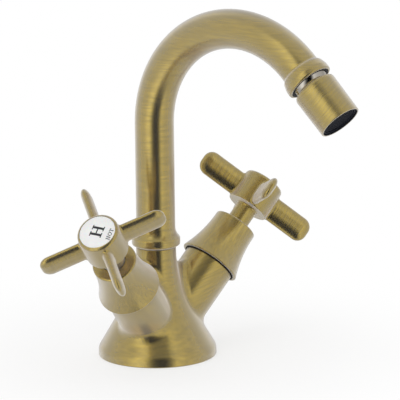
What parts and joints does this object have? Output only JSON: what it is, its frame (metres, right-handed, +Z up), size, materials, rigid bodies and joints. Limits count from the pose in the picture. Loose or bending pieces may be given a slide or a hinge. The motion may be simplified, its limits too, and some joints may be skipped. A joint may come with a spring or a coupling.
{
  "type": "bidet mixer",
  "caption": "Brushed antique brass bidet mixer with a swan-neck spout, ball-jointed aerator nozzle and cross handles on slanted valves.",
  "frame": {"origin": "centre of the base's underside, on the fixing stud's axis", "axes": "+Z up along the spout's swivel axis, -Y to the front where the spout points at rest, hot valve on -X"},
  "size_m": [0.1519, 0.1403, 0.1674],
  "materials": {
    "finish": "brushed antique",
    "brass": "turned",
    "chrome": "polished",
    "porcelain": "glazed",
    "ceramic": "ground",
    "rubber": "matte",
    "steel": "plain",
    "white_plastic": "matte",
    "dark_plastic": "matte"
  },
  "bodies": {
    "mixer": {"mixer_body": "finish", "base_gasket": "rubber", "hot_headwork_housing": "brass", "hot_headwork_seal_ring": "rubber", "hot_seat_seal": "rubber", "hot_fixed_disc": "ceramic", "hot_valve_cover": "finish", "cold_headwork_housing": "brass", "cold_headwork_seal_ring": "rubber", "cold_seat_seal": "rubber", "cold_fixed_disc": "ceramic", "cold_valve_cover": "finish"},
    "hot_valve": {"hot_cross_handle": "finish", "hot_spindle": "brass", "hot_moving_disc": "ceramic", "hot_spindle_seal_rings": "rubber", "hot_spindle_clip": "steel", "hot_handle_screw": "steel", "hot_index_disc": "porcelain"},
    "cold_valve": {"cold_cross_handle": "finish", "cold_spindle": "brass", "cold_moving_disc": "ceramic", "cold_spindle_seal_rings": "rubber", "cold_spindle_clip": "steel", "cold_handle_screw": "steel", "cold_index_disc": "porcelain"},
    "spout": {"spout_tube": "finish", "spout_spigot": "brass", "spout_seal_rings": "rubber", "spout_snap_ring": "steel", "ball_seat_gasket": "rubber", "ball_retainer": "dark_plastic"},
    "ball_seat": {"ball_slip_ring": "white_plastic"},
    "nozzle": {"nozzle_ball": "chrome", "nozzle_housing": "finish", "aerator_washer": "rubber", "aerator_cartridge": "dark_plastic", "aerator_mesh": "dark_plastic"}
  },
  "joints": [
    {"name": "spout_swivel", "type": "hinge", "parent": "mixer", "child": "spout", "pos_m": [0, 0, 0.0513], "axis": [0, 0, 1], "continuous": true},
    {"name": "hot_valve_turn", "type": "hinge", "parent": "mixer", "child": "hot_valve", "pos_m": [-0.03104, -0.00809, 0.03996], "axis": [-0.6807, -0.1773, 0.7108], "range_deg": [0, 90]},
    {"name": "cold_valve_turn", "type": "hinge", "parent": "mixer", "child": "cold_valve", "pos_m": [0.03104, -0.00809, 0.03996], "axis": [0.6807, -0.1773, 0.7108], "range_deg": [0, 90]},
    {"name": "nozzle_swivel", "type": "hinge", "parent": "spout", "child": "ball_seat", "pos_m": [0, -0.08813, 0.14012], "axis": [0, -0.7181, -0.6959], "continuous": true},
    {"name": "nozzle_tilt", "type": "hinge", "parent": "ball_seat", "child": "nozzle", "pos_m": [0, -0.08813, 0.14012], "axis": [1, 0, 0], "range_deg": [-12, 12]}
  ]
}
